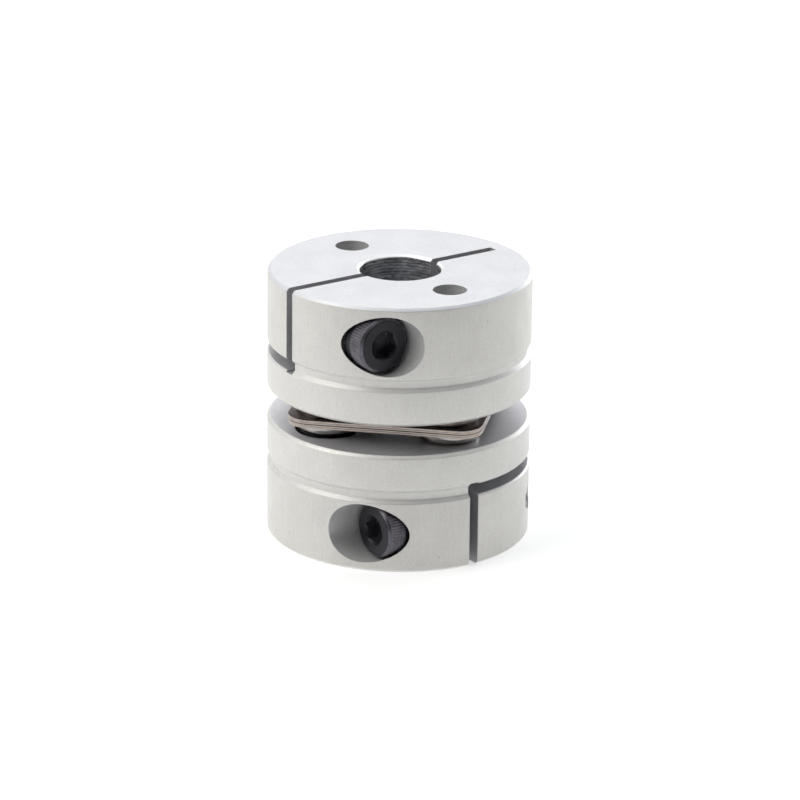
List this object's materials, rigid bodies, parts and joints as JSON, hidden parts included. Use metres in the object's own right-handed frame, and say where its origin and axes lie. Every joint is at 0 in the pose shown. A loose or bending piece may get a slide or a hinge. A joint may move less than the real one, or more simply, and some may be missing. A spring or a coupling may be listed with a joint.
{
  "type": "disc coupling",
  "caption": "Clamp-type shaft coupling: slotted cylindrical hubs joined through a square pack of thin flexible steel leaves, screwed alternately to each hub.",
  "frame": {"origin": "on the shaft axis, halfway through the pack of disc leaves and so halfway between the hubs' outer end faces", "axes": "+Z along the shaft axis, towards the upper hub; X along the upper hub's slit, which opens at -X; Y along the lower hub's slit, which opens at -Y"},
  "size_m": [0.026, 0.026, 0.027],
  "materials": {
    "hub_aluminium": "fine satin, turned and blasted",
    "black_steel": "black oxide, slightly oiled",
    "spring_steel": "bright rolled stainless strip",
    "washer_steel": "turned"
  },
  "bodies": {
    "root": {"collar_back": "washer_steel", "collar_front": "washer_steel", "collar_left": "washer_steel", "collar_right": "washer_steel", "disc_leaf_1": "spring_steel", "disc_leaf_2": "spring_steel", "disc_leaf_3": "spring_steel", "disc_leaf_4": "spring_steel", "disc_screw_back": "black_steel", "disc_screw_front": "black_steel", "disc_screw_left": "black_steel", "disc_screw_right": "black_steel", "head_washer_back": "washer_steel", "head_washer_front": "washer_steel", "head_washer_left": "washer_steel", "head_washer_right": "washer_steel", "lower_clamp_screw": "black_steel", "lower_hub": "hub_aluminium", "upper_clamp_screw": "black_steel", "upper_hub": "hub_aluminium"}
  },
  "joints": []
}
